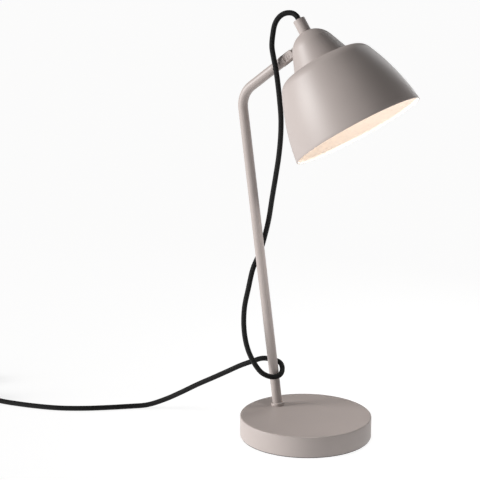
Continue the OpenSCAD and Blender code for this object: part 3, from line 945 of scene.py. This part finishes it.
@dataclass
class BraidedLead:
    """The mains lead from the shade's collar to the plug, past its switch and coil, in millimetres."""

    diameter: float = 6.4
    mouth_up: float = 148.1
    coil_at: tuple[float, float] = (-588.0, -90.0)
    coil_radius: float = 38.0
    coil_start_angle: float = -72.9
    coil_wide: float = 44.4
    coil_turned: float = 917.1
    climb: float = 6.6
    climb_from: float = 330.0
    climb_over: float = 55.0
    lying: float = 4.4
    switch_at: tuple[float, float] = (-457.0, -113.4)
    switch_length: float = 62.0
    switch_turn: float = 10.0
    cord_height: float = 10.6
    plug_rise: float = 6.85
    step: float = 2.0
    sides: int = 16
    above_bend: float = 340.0
    below_bend: float = 250.0
    loop: tuple = (
        (-31, 14, 509), (-39, 12, 509), (-46, 10, 505), (-51, 8, 497),
        (-53, 6, 484), (-53, 4, 470), (-50, 3, 457), (-47, 3, 444),
    )
    hang: tuple = (
        (-44, 3, 427), (-42, 4, 408), (-41, 6, 386), (-43, 9, 362),
        (-47, 12, 338), (-53, 16, 314), (-60, 20, 286), (-67, 24, 257),
    )
    wrap: tuple = (
        (-74, 26, 234), (-79, 23, 214), (-84, 16, 196), (-86, 8, 172), (-87, 0, 148), (-84, -6, 124),
        (-78, -9, 103), (-69, -9, 85), (-58, -6, 71), (-48, 3, 65), (-42.8, 12, 66.5), (-44.4, 20.4, 71.5),
        (-50.5, 25.5, 77), (-61, 24, 80), (-72, 19, 81), (-85, 14, 76), (-100, 11, 69), (-116, 8, 60),
        (-134, 4, 50), (-156, 0, 38), (-178, -5, 25), (-200, -10, 13), (-220, -19, 5),
    )
    lay: tuple = (
        (-238, -31, 3.25), (-259, -49, 3.25), (-284, -68, 3.25), (-313, -84, 3.25),
        (-346, -94, 3.25), (-380, -100, 3.25),
    )
    design_mouth: tuple[float, float, float] = (-23, 14, 502)

    def mouth(self) -> Vector:
        """The collar's mouth, in millimetres."""
        return (LINES.rim + LINES.up_shade * self.mouth_up * MM) / MM

    def switch_way(self) -> Vector:
        """Direction of the lead through the switch."""
        a = math.radians(180 + self.switch_turn)
        return Vector((math.cos(a), math.sin(a), 0))

    def switch_ends(self) -> tuple[Vector, Vector]:
        """Where the lead enters and leaves the switch, in millimetres."""
        middle = Vector((*self.switch_at, self.cord_height))
        half = self.switch_way() * self.switch_length / 2
        return middle - half, middle + half

    def coil_points(self) -> list[Vector]:
        """The coil's turns, clockwise from above, each climbing over the one before."""
        points = []
        count = 80
        for i in range(count + 1):
            turned = self.coil_turned * i / count
            angle = math.radians(self.coil_start_angle - turned)
            ends = max(1 - turned / 35, 1 - (self.coil_turned - turned) / 35, 0)
            radius = self.coil_radius + (self.coil_wide - self.coil_radius) * ends * ends * (3 - 2 * ends)
            height = self.lying
            for k in range(3):
                t = min(max((turned - self.climb_from - 360 * k) / self.climb_over, 0), 1)
                height += self.climb * t * t * (3 - 2 * t)
            centre = Vector((*self.coil_at, height))
            points.append(centre + Vector((math.cos(angle), math.sin(angle), 0)) * radius)
        return points

    def route(self) -> list[Vector]:
        """The route's points from inside the collar to inside the plug, in millimetres."""
        mouth, axis = self.mouth(), LINES.up_shade
        shift = mouth - Vector(self.design_mouth)
        steps = len(self.loop) + len(self.hang)
        points = [mouth - axis * 5, mouth + axis * 0.6, mouth + axis * 4]
        points += [Vector(p) + shift for p in self.loop]
        points += [Vector(p) + shift * (1 - (i + 1) / steps * 2) for i, p in enumerate(self.hang)]
        points += [Vector(p) for p in self.wrap + self.lay]
        way = self.switch_way()
        near, far = self.switch_ends()
        points += [near - way * 28 - Vector((0, 0, 6)), near - way * 14 - Vector((0, 0, 1.5)), near]
        points += [near + way * 20, far - way * 20, far, far + way * 10, far + way * 24 - Vector((0, 0, 3))]
        points += self.coil_points()
        x, plug_y = self.coil_at[0], self.coil_at[1] + self.coil_radius + 4
        plug_x = x + 80
        points += [
            Vector((x + 14, plug_y + 2.6, 16)),
            Vector((x + 28, plug_y + 2, 11)),
            Vector((plug_x - 42, plug_y + 0.8, 7.8)),
            Vector((plug_x - 33, plug_y, self.plug_rise)),
            Vector((plug_x - 22, plug_y, self.plug_rise)),
            Vector((plug_x - 12, plug_y, self.plug_rise)),
            Vector((plug_x - 4, plug_y, self.plug_rise)),
        ]
        return points

    def line(self) -> list[Vector]:
        """The smooth centreline, in metres, at even steps."""
        raw = self.route()
        padded = [raw[0] * 2 - raw[1], *raw, raw[-1] * 2 - raw[-2]]
        dense: list[Vector] = []
        for p0, p1, p2, p3 in zip(padded, padded[1:], padded[2:], padded[3:]):
            knots = [0.0]
            for a, b in ((p0, p1), (p1, p2), (p2, p3)):
                knots.append(knots[-1] + math.sqrt((b - a).length))
            for k in range(12):
                t = knots[1] + (knots[2] - knots[1]) * k / 12
                a1 = p0.lerp(p1, (t - knots[0]) / (knots[1] - knots[0]))
                a2 = p1.lerp(p2, (t - knots[1]) / (knots[2] - knots[1]))
                a3 = p2.lerp(p3, (t - knots[2]) / (knots[3] - knots[2]))
                b1 = a1.lerp(a2, (t - knots[0]) / (knots[2] - knots[0]))
                b2 = a2.lerp(a3, (t - knots[1]) / (knots[3] - knots[1]))
                dense.append(b1.lerp(b2, (t - knots[1]) / (knots[2] - knots[1])))
        dense.append(raw[-1])
        for point in dense:
            point.z = max(point.z, self.diameter / 2)
        return evenly(dense, self.step)

    def build(self, pieces: Sequence[bpy.types.Object]) -> bpy.types.Object:
        """Args:
            pieces: the pieces that sit on it; not used.

        Returns:
            The lead.
        """
        line = self.line()
        bm = tube(line, lambda s: self.diameter / 2 * MM, self.sides)
        replaced = ("cord_drop", "cord_wrap", "cord_tail", "cord_link", "cord_coil", "cord_lead")
        lead = finish_piece(bm, "braided_lead", Slot.BRAID, None, replaced, smooth=60)
        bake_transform(lead)
        length = sum((b - a).length for a, b in zip(line, line[1:]))
        LOG.info("braided_lead: %.3f m long", length)
        return lead


def evenly(points: Sequence[Vector], step: float) -> list[Vector]:
    """Points at even steps along a line, from millimetres to metres.

    Args:
        points: the line's points, in millimetres.
        step: distance between the new points, in millimetres.

    Returns:
        The new points, in metres.
    """
    total = sum((b - a).length for a, b in zip(points, points[1:]))
    count = max(2, round(total / step))
    out, walked, i = [points[0] * MM], 0.0, 0
    span = (points[1] - points[0]).length
    for k in range(1, count):
        target = total * k / count
        while walked + span < target and i < len(points) - 2:
            walked += span
            i += 1
            span = (points[i + 1] - points[i]).length
        out.append(points[i].lerp(points[i + 1], (target - walked) / span) * MM)
    return out + [points[-1] * MM]


def tube(line: Sequence[Vector], radius: Callable[[float], float], sides: int) -> bmesh.types.BMesh:
    """A closed tube along a line, with a UV map: once round, and metres along.

    Args:
        line: the centreline.
        radius: the radius at a distance along it.
        sides: sides of the tube.

    Returns:
        The mesh.
    """
    bm = bmesh.new()
    uv = bm.loops.layers.uv.new("braid")
    count = len(line)
    side = Vector((0, 1, 0))
    rings, lengths, walked = [], [], 0.0
    for i, point in enumerate(line):
        heading = (line[min(i + 1, count - 1)] - line[max(i - 1, 0)]).normalized()
        side = (side - heading * side.dot(heading)).normalized()
        other = heading.cross(side)
        walked += (point - line[i - 1]).length if i else 0.0
        r = radius(walked)
        rings.append([
            bm.verts.new(point + (side * math.cos(a) + other * math.sin(a)) * r)
            for a in (2 * math.pi * k / sides for k in range(sides))
        ])
        lengths.append(walked)
    for i in range(count - 1):
        for k in range(sides):
            m = (k + 1) % sides
            face = bm.faces.new((rings[i][k], rings[i][m], rings[i + 1][m], rings[i + 1][k]))
            marks = ((k, i), (k + 1, i), (k + 1, i + 1), (k, i + 1))
            for loop, (u, v) in zip(face.loops, marks):
                loop[uv].uv = (u / sides, lengths[v])
    bm.faces.new(list(reversed(rings[0])))
    bm.faces.new(rings[-1])
    return bm


@dataclass
class InlineSwitch:
    """The rocker switch on the lead."""

    edge: float = 1.1 * MM
    relief: float = 12 * MM

    def relief_tube(self, lead: BraidedLead, near: bool) -> bmesh.types.BMesh:
        """One ribbed sleeve that guards the lead at an end of the switch.

        Args:
            lead: the lead.
            near: true for the end on the lamp's side.

        Returns:
            The mesh.
        """
        line = lead.line()
        end = lead.switch_ends()[0 if near else 1] * MM
        i = min(range(len(line)), key=lambda k: (line[k] - end).length)
        span = round(self.relief / (lead.step * MM))
        part = line[i - span : i + 2] if near else line[i - 1 : i + span + 1][::-1]
        return ribbed(part, 3.75 * MM, 5.0 * MM)

    def build(self, lead: BraidedLead) -> list[bpy.types.Object]:
        """Builds the switch.

        Args:
            lead: the lead that it is on.

        Returns:
            Its pieces.
        """
        sleeves = join(self.relief_tube(lead, True), self.relief_tube(lead, False))
        made = [
            soft_node("switch_tray", "switch_lower_half", Slot.BLACK, Body.STAND, self.edge * 0.5, angle=50),
            soft_node("switch_lid", "switch_upper_half", Slot.BLACK, Body.STAND, self.edge, angle=24),
            soft_node("switch_rocker", "switch_key", Slot.ROCKER, Body.ROCKER, 0.5 * MM, angle=40),
            finish_piece(sleeves, "switch_sleeves", Slot.BLACK, Body.STAND),
        ]
        dress("switch_screws", Slot.ZINC)
        return [*made, frame["nodes"]["switch_screws"]]


def ribbed(line: Sequence[Vector], thin: float, thick: float) -> bmesh.types.BMesh:
    """A tapered sleeve with ribs along a line.

    Args:
        line: the centreline, from the thin end.
        thin: radius at the thin end.
        thick: radius at the thick end.

    Returns:
        The mesh.
    """
    fine = evenly([p / MM for p in line], 0.25)
    total = sum((b - a).length for a, b in zip(fine, fine[1:]))

    def radius(s: float) -> float:
        """Radius at a distance from the thin end."""
        groove = 0.5 - 0.5 * math.cos(2 * math.pi * s / (2.8 * MM))
        return thin + (thick - thin) * s / total - 0.55 * MM * (groove > 0.72)

    return tube(fine, radius, 32)


@dataclass
class MainsPlug:
    """Flat two-pin plug with its tapered strain relief."""

    edge: float = 1.0 * MM
    relief: float = 22.0
    rib: float = 1.5 * MM

    def grips(self) -> bmesh.types.BMesh:
        """Raised ribs on the plug's two flat faces."""
        low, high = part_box("plug_body")
        bm = bmesh.new()
        middle = (low + high) / 2
        for face in (-1, 1):
            for k in range(5):
                z = high.z if face > 0 else low.z + 0.2 * MM
                place = Matrix.Translation((high.x - (12 + 3.6 * k) * MM, middle.y, z))
                made = bmesh.ops.create_cube(
                    bm, size=1, matrix=place @ Matrix.Diagonal((self.rib, 17 * MM - k * MM, 0.8 * MM, 1))
                )
                edges = list({e for v in made["verts"] for e in v.link_edges})
                bmesh.ops.bevel(
                    bm, geom=edges, offset=0.3 * MM, offset_type="OFFSET", segments=2, profile=0.5,
                    affect="EDGES", material=-1,
                )
        return bm

    def build(self, lead: BraidedLead) -> list[bpy.types.Object]:
        """Builds the plug.

        Args:
            lead: the lead that it ends.

        Returns:
            Its pieces.
        """
        line = lead.line()
        count = round(self.relief / lead.step)
        last = len(line) - round(6 / lead.step)
        part = line[last - count - 1 : last]
        made = [
            soft_node("plug_body", "plug_shell", Slot.BLACK, Body.STAND, self.edge, angle=24),
            finish_piece(self.grips(), "plug_grips", Slot.BLACK, Body.STAND),
            finish_piece(ribbed(part, 3.9 * MM, 5.6 * MM), "plug_relief", Slot.BLACK, Body.STAND),
            soft_node("plug_pins", "plug_contacts", Slot.NICKEL, Body.STAND, 0.25 * MM),
        ]
        dress("plug_sleeves", Slot.BLACK)
        return [*made, frame["nodes"]["plug_sleeves"]]


@dataclass
class LeadTie:
    """Hook tape round the coil."""

    edge: float = 0.35 * MM

    def build(self) -> bpy.types.Object:
        """Builds the tie."""
        return soft_node("coil_tie", "lead_tie", Slot.TIE, Body.STAND, self.edge)


# ---------------------------------------------------------------- the stand


@dataclass
class DiscBase:
    """Weighted disc: pressed cover, cast weight and foam pad."""

    radius: float = 80 * MM
    height: float = 26 * MM
    wall: float = 1.6 * MM
    edge: float = 1.5 * MM
    gap: float = 1.0 * MM
    pad_radius: float = 77 * MM
    pad_height: float = 2 * MM
    lip_radius: float = 79.2 * MM
    lip_height: float = 0.8 * MM
    steps: int = 192

    def build(self) -> None:
        """Builds the base."""
        r, h, w = self.radius, self.height, self.wall
        cover = fillet(
            [
                (0, h, 0),
                (r * 0.5, h, 0),
                (r - 6 * MM, h, 0),
                (r, h, self.edge),
                (r, self.gap, 0.5 * MM),
                (r - w, self.gap, 0.5 * MM),
                (r - w, h - w, self.edge),
                (0, h - w, 0),
            ]
        )
        finish_piece(
            lathe(cover, Matrix(), self.steps), "base_disc", Slot.POWDER, Body.STAND, ("base_cover",)
        )
        pad = fillet(
            [(0, 0, 0), (self.lip_radius, 0, 0.2 * MM), (self.lip_radius, self.lip_height, 0.2 * MM),
             (self.pad_radius, self.lip_height, 0), (self.pad_radius, self.pad_height, 0.3 * MM),
             (0, self.pad_height, 0)]
        )
        finish_piece(lathe(pad, Matrix(), self.steps), "base_foam", Slot.PAD, Body.STAND, ("base_pad",))
        dress("base_weight", Slot.WEIGHT)


@dataclass
class StemFoot:
    """Rounded ferrule round the stem's foot, and its fastening inside the base."""

    radius: float = 8.2 * MM
    height: float = 3.6 * MM
    bore: float = 5.95 * MM
    edge: float = 1.3 * MM
    sunk: float = 0.02 * MM

    def build(self) -> None:
        """Builds the foot."""
        depth = -3 * MM
        outline = fillet(
            [(self.bore, depth, 0), (self.radius, depth, 0), (self.radius, self.height, self.edge),
             (self.bore, self.height, 0.5 * MM), (self.bore, depth, 0)]
        )
        bm = lathe(outline, LINES.on_stem(), 72)
        bmesh.ops.bisect_plane(
            bm, geom=bm.verts[:] + bm.edges[:] + bm.faces[:], dist=1e-6,
            plane_co=(0, 0, LINES.foot.z - self.sunk), plane_no=(0, 0, -1), clear_outer=True,
        )
        bmesh.ops.holes_fill(bm, edges=[e for e in bm.edges if e.is_boundary], sides=0)
        finish_piece(bm, "stem_ferrule", Slot.POWDER, Body.STAND, ("foot_ferrule",))
        for part in ("nut", "washer", "stud"):
            soft_node(f"stem_{part}", f"foot_{part}", Slot.ZINC, Body.STAND, 0.3 * MM)


@dataclass
class BentStem:
    """One tube: the leaning stem, the bend and the arm."""

    radius: float = 6 * MM
    start: float = 1 * MM
    bend_radius: float = 30 * MM
    neck: float = 24 * MM
    sides: int = 64
    bend_steps: int = 28
    lip: float = 0.35 * MM

    def build(self) -> None:
        """Builds the tube."""
        turn = math.pi / 2 - LINES.arm_rise + LINES.lean
        leg = self.bend_radius * math.tan(turn / 2)
        bm = bmesh.new()
        bmesh.ops.create_circle(
            bm, cap_ends=False, segments=self.sides, radius=self.radius, matrix=LINES.on_stem(self.start)
        )
        edges = bm.edges[:]
        edges = self.stretch(bm, edges, LINES.stem * (LINES.stem_length - leg - self.start))
        bend_start = LINES.corner - LINES.stem * leg
        inward = Vector((LINES.stem.z, 0, -LINES.stem.x))
        made = bmesh.ops.spin(
            bm,
            geom=edges,
            cent=bend_start + inward * self.bend_radius,
            axis=(0, 1, 0),
            angle=turn,
            steps=self.bend_steps,
            use_duplicate=False,
        )
        edges = [e for e in made["geom_last"] if isinstance(e, bmesh.types.BMEdge)]
        run = LINES.arm_length - leg - self.neck - self.lip
        edges = self.stretch(bm, edges, LINES.arm * run)
        edges = self.stretch(bm, edges, LINES.arm * self.lip)
        rim = list({v for e in edges for v in e.verts})
        middle = sum((v.co for v in rim), Vector()) / len(rim)
        for vert in rim:
            vert.co = middle + (vert.co - middle) * (1 - self.lip / self.radius)
        self.stretch(bm, edges, Vector())
        bmesh.ops.holes_fill(bm, edges=[e for e in bm.edges if e.is_boundary], sides=0)
        bmesh.ops.remove_doubles(bm, verts=bm.verts[:], dist=1e-6)
        bmesh.ops.recalc_face_normals(bm, faces=bm.faces[:])
        finish_piece(bm, "bent_tube", Slot.POWDER, Body.STAND, ("stem_tube",))

    def stretch(self, bm: bmesh.types.BMesh, edges: Sequence[Any], by: Vector) -> list[Any]:
        """Extrudes a ring of edges.

        Args:
            bm: the mesh.
            edges: the ring.
            by: how far it is moved.

        Returns:
            The new ring.
        """
        made = bmesh.ops.extrude_edge_only(bm, edges=list(edges))["geom"]
        bmesh.ops.translate(bm, vec=by, verts=[g for g in made if isinstance(g, bmesh.types.BMVert)])
        return [g for g in made if isinstance(g, bmesh.types.BMEdge)]


@dataclass
class TiltHinge:
    """Forked arm end, tongue on the shade and the screw through both."""

    edge: float = 0.5 * MM

    def build(self) -> None:
        """Builds the hinge."""
        soft_node("arm_clevis", "arm_fork", Slot.POWDER, Body.STAND, self.edge, segments=3)
        soft_node("hinge_screw", "tilt_screw", Slot.POWDER, Body.STAND, 0.15 * MM)
        soft_node("hinge_nut", "tilt_nut", Slot.HINGE, Body.STAND, 0.3 * MM)
        soft_node("hinge_washers", "tilt_washers", Slot.NYLON, Body.STAND, 0.08 * MM)
        soft_node("hinge_tongue", "shade_tongue", Slot.HINGE, Body.HEAD, 0.35 * MM)
        for node, name in (("tongue_stud", "tongue_pin"), ("tongue_washer", "tongue_disc"),
                           ("tongue_nut", "tongue_hex")):
            soft_node(node, name, Slot.ZINC, Body.HEAD, 0.15 * MM)


# ---------------------------------------------------------------- the head


@dataclass
class SpunShade:
    """The spun shade: flared bell, soft crease, small dome, and the collar where the lead leaves."""

    rim_radius: float = 80 * MM
    rim_taper: float = math.radians(6.4)
    side_radius: float = 259 * MM
    crease_radius: float = 35 * MM
    crease_height: float = 91.3 * MM
    crown_fall: float = math.radians(5.5)
    shoulder: float = 19.1 * MM
    crease_soft: float = 3 * MM
    dome_taper: float = math.radians(22)
    dome_top: float = 132.3 * MM
    wall: float = 1.2 * MM
    bore: float = 5.1 * MM
    collar_radius: float = 7.3 * MM
    collar_height: float = 15.8 * MM
    collar_bore: float = 5.4 * MM
    grip_low: float = 6 * MM
    heart: float = 40 * MM
    steps: int = 224

    def dome(self) -> tuple[float, float]:
        """Height of the middle and radius of the dome's round top."""
        across = self.crease_radius * math.cos(self.dome_taper)
        up = self.crease_height * math.sin(self.dome_taper)
        middle = (self.dome_top - across - up) / (1 - math.sin(self.dome_taper))
        return middle, self.dome_top - middle

    def outline(self) -> Profile:
        """The outer skin, from the rim to the hole in the dome's top."""
        crown = math.pi / 2 - self.crown_fall
        crown_normal = Vector((math.cos(crown), math.sin(crown)))
        crease = Vector((self.crease_radius, self.crease_height))
        side_middle = Vector(
            (
                self.rim_radius - self.side_radius * math.cos(self.rim_taper),
                -self.side_radius * math.sin(self.rim_taper),
            )
        )
        between = self.side_radius - self.shoulder
        reach = (crease - side_middle).dot(crown_normal) - self.shoulder
        join_angle = crown - math.acos(reach / between)
        shoulder_middle = side_middle + Vector((math.cos(join_angle), math.sin(join_angle))) * between
        side = arc(side_middle, self.side_radius, self.rim_taper, join_angle, 24)
        shoulder = arc(shoulder_middle, self.shoulder, join_angle, crown, 24)
        middle, radius = self.dome()
        dome = arc(Vector((0, middle)), radius, self.dome_taper, math.acos(self.bore / radius), 28)
        valley = fillet([(*shoulder[-1], 0), (*crease, self.crease_soft), (*dome[0], 0)], 10)
        return side + shoulder[1:] + valley[1:] + dome[1:]

    def shell(self) -> bmesh.types.BMesh:
        """Shell with its wall, the enamelled inside as its second material."""
        bm = lathe(self.outline(), Matrix(), self.steps, closed=False)
        bmesh.ops.reverse_faces(bm, faces=[f for f in bm.faces if self.looks_in(f)])
        bmesh.ops.solidify(bm, geom=bm.faces[:], thickness=self.wall)
        for face in bm.faces:
            face.material_index = 1 if self.looks_in(face) else 0
        rims = [e for e in bm.edges if e.calc_face_angle(0) > math.radians(60)]
        bmesh.ops.bevel(
            bm, geom=rims, offset=0.35 * MM, offset_type="OFFSET", segments=2, profile=0.5,
            affect="EDGES", material=-1,
        )
        bmesh.ops.transform(bm, matrix=LINES.in_shade(), verts=bm.verts[:])
        return bm

    def looks_in(self, face: bmesh.types.BMFace) -> bool:
        """True if a face looks towards the middle of the shade."""
        return face.normal.dot(face.calc_center_median() - Vector((0, 0, self.heart))) < 0

    def build(self) -> None:
        """Builds the shade."""
        finish_piece(
            self.shell(), "spun_shell", Slot.SHADE, Body.HEAD, ("shade_shell",), (Slot.SHADE, ENAMEL), 40
        )
        low = -1.6 * MM
        top = self.collar_height
        collar = fillet(
            [(self.collar_bore, low, 0), (self.collar_radius, low, 0), (self.collar_radius, top, 0.6 * MM),
             (self.collar_bore, top, 0.3 * MM), (self.collar_bore, low, 0)], 5
        )
        finish_piece(
            lathe(collar, LINES.in_shade(self.dome_top), 96), "lead_collar", Slot.SHADE, Body.HEAD,
            ("cord_collar",),
        )
        bush = fillet(
            [(3.22 * MM, self.grip_low, 0), (self.collar_bore, self.grip_low, 0),
             (self.collar_bore, top + 0.5 * MM, 0.5 * MM), (3.22 * MM, top + 0.5 * MM, 0.8 * MM),
             (3.22 * MM, self.grip_low, 0)], 5
        )
        finish_piece(
            lathe(bush, LINES.in_shade(self.dome_top), 72), "lead_bush", Slot.BLACK, Body.HEAD,
            ("cord_grip",),
        )
        soft_node("collar_screw", "bush_screw", Slot.BLACK, Body.HEAD, 0.12 * MM)


@dataclass
class Lampholder:
    """Small screw lampholder on its threaded nipple."""

    radius: float = 13 * MM

    def build(self) -> None:
        """Builds the lampholder."""
        self.body()
        soft_node("holder_cap", "holder_dome", Slot.HOLDER, Body.HEAD, 0.6 * MM, angle=20)
        soft_node("nipple_nut", "nipple_hex", Slot.BRASS, Body.HEAD, 0.3 * MM)
        soft_node("holder_insert", "holder_core", Slot.CERAMIC, Body.HEAD, 0.25 * MM)
        soft_node("holder_sleeve", "holder_thread", Slot.BRASS, Body.HEAD, 0.08 * MM)
        for node in ("nipple", "centre_contact", "terminals"):
            dress(node, Slot.BRASS)
        dress("lead_live", Slot.BROWN)
        dress("lead_neutral", Slot.BLUE)
        dress("cord_entry", Slot.BRAID)

    def span(self, node: str) -> tuple[float, float]:
        """Lowest and highest point of a CAD node along the shade's axis, over the rim."""
        heights = [(v.co - LINES.rim).dot(LINES.up_shade) for v in frame["nodes"][node].data.vertices]
        return min(heights), max(heights)

    def body(self) -> None:
        """Ribbed skirt of the lampholder."""
        low, high = self.span("holder_body")
        r, bore = self.radius, 8.2 * MM
        corners = [(bore, low + 2 * MM, 0), (bore, low, 0.5 * MM), (r, low, 0.8 * MM)]
        rib = 3.4 * MM
        count = int((high - low - 8 * MM) / rib)
        for k in range(count):
            z = low + 3 * MM + k * rib
            corners += [
                (r, z, 0.2 * MM), (r - 0.7 * MM, z + 0.5 * MM, 0.2 * MM),
                (r - 0.7 * MM, z + 1.2 * MM, 0.2 * MM), (r, z + 1.7 * MM, 0.2 * MM),
            ]
        corners += [(r, high, 0.3 * MM), (11.4 * MM, high, 0), (11.4 * MM, high - 5 * MM, 0),
                    (bore, high - 5 * MM, 0), (bore, low + 2 * MM, 0)]
        finish_piece(
            lathe(fillet(corners, 3), LINES.in_shade(), 72), "holder_skirt", Slot.HOLDER, Body.HEAD,
            ("holder_body",),
        )


@dataclass
class Bulb:
    """Small round bulb with a screw cap."""

    neck: float = 6.2 * MM
    screw: float = 6.8 * MM
    pitch: float = 2.8 * MM
    globe: float = 22.5 * MM
    round_to: float = math.radians(145)
    skin: float = 0.9 * MM
    groove: float = 0.35 * MM
    plain_ends: float = 4 * MM
    turn_steps: int = 8

    def build(self, holder: Lampholder) -> None:
        """Builds the bulb.

        Args:
            holder: the lampholder, which measures along the shade's axis.
        """
        low, high = holder.span("bulb_globe")
        middle = low + self.globe
        ball = [
            (self.globe * math.sin(a), middle - self.globe * math.cos(a))
            for a in (self.round_to * k / 40 for k in range(41))
        ]
        cap_low, cap_high = holder.span("bulb_cap")
        corners = [(*p, 0) for p in ball]
        corners += [(self.neck, cap_low, 6 * MM), (self.neck, high, 0), (0, high, 0)]
        finish_piece(
            lathe(fillet(corners, 8), LINES.in_shade(), 96), "bulb_glass", Slot.GLASS, Body.HEAD,
            ("bulb_globe",), smooth=50,
        )
        outer = []
        count = int((cap_high - cap_low - self.plain_ends) / self.pitch * self.turn_steps)
        for k in range(count + 1):
            z = cap_low + 2.5 * MM + k * self.pitch / self.turn_steps
            dip = self.groove * (1 - math.cos(2 * math.pi * k / self.turn_steps))
            outer.append((self.screw - dip, z))
        bore = self.screw - self.skin
        profile = [(bore, cap_low), (self.screw - 0.1 * MM, cap_low)]
        profile += outer + [(bore, cap_high), (bore, cap_low)]
        finish_piece(
            lathe(profile, LINES.in_shade(), 64), "bulb_screw", Slot.NICKEL, Body.HEAD, ("bulb_cap",),
            smooth=70,
        )
        dress("bulb_insulator", Slot.BLACK)
        dress("bulb_contact", Slot.NICKEL)


# ---------------------------------------------------------------- main


def main() -> None:
    """Builds the studio and the lamp, the camera and the lead first."""
    logging.basicConfig(level=logging.INFO, format="%(name)s %(message)s")
    studio = Studio()
    studio.camera()
    lead = BraidedLead()
    on_lead = InlineSwitch().build(lead) + MainsPlug().build(lead) + [LeadTie().build()]
    lead.build(on_lead)
    studio.build()
    DiscBase().build()
    StemFoot().build()
    BentStem().build()
    TiltHinge().build()
    SpunShade().build()
    holder = Lampholder()
    holder.build()
    Bulb().build(holder)


if __name__ == "__main__":
    main()
